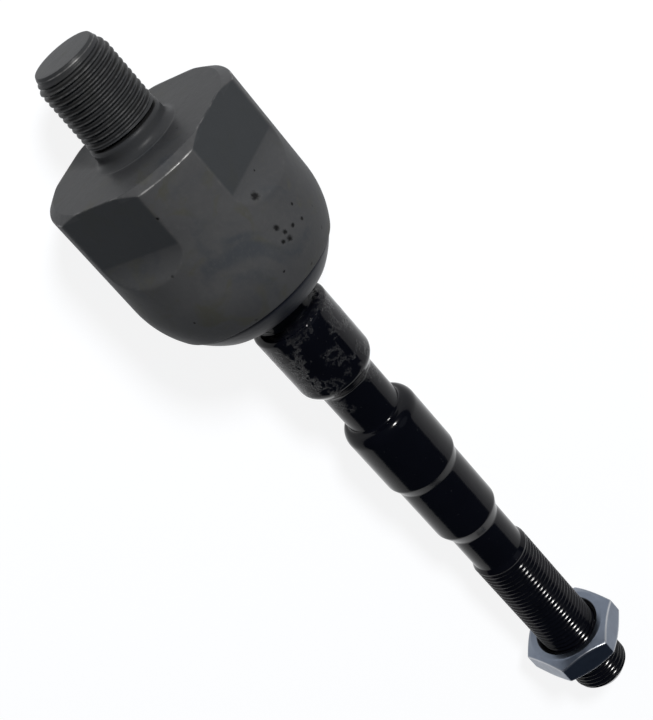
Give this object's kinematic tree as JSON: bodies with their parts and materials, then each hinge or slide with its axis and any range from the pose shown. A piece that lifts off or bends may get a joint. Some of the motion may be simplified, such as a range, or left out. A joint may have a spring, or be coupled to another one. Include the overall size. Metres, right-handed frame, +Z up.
{
  "type": "inner tie rod",
  "caption": "Inner tie rod for a steering rack: a round ball joint housing with a male stud and wrench flats, and a stepped rod with a threaded end and lock nut.",
  "frame": {"origin": "on the ground, under the middle of the part's length, as it lies at rest on the round housing and the lock nut", "axes": "+X along the rack stud's axis from the stud towards the rod, +Z up; the rod droops from the ball's centre in the XZ plane"},
  "size_m": [0.2334, 0.05, 0.05],
  "materials": {
    "phosphated_steel": "matt dark grey phosphate over forged steel, with small pits and scuffed edges",
    "spring_steel": "bare spring steel",
    "seat_plastic": "greased natural acetal",
    "black_paint": "gloss black paint over forged steel",
    "zinc_plate": "bright zinc plate"
  },
  "bodies": {
    "housing": {"socket_housing": "phosphated_steel", "preload_washer": "spring_steel"},
    "seats": {"rear_ball_seat": "seat_plastic", "front_ball_seat": "seat_plastic"},
    "rod": {"ball_rod": "black_paint"},
    "nut": {"lock_nut": "zinc_plate"}
  },
  "joints": [
    {"name": "swing_heading", "type": "hinge", "parent": "housing", "child": "seats", "pos_m": [-0.06323, 0, 0.025], "axis": [1, 0, 0], "continuous": true},
    {"name": "rod_swing", "type": "hinge", "parent": "seats", "child": "rod", "pos_m": [-0.06323, 0, 0.025], "axis": [0, 1, 0], "range_deg": [-24.51, 15.47]},
    {"name": "nut_travel", "type": "slide", "parent": "rod", "child": "nut", "axis": [0.9969, 0, -0.0787], "range_m": [-0.034, 0.0105]}
  ]
}
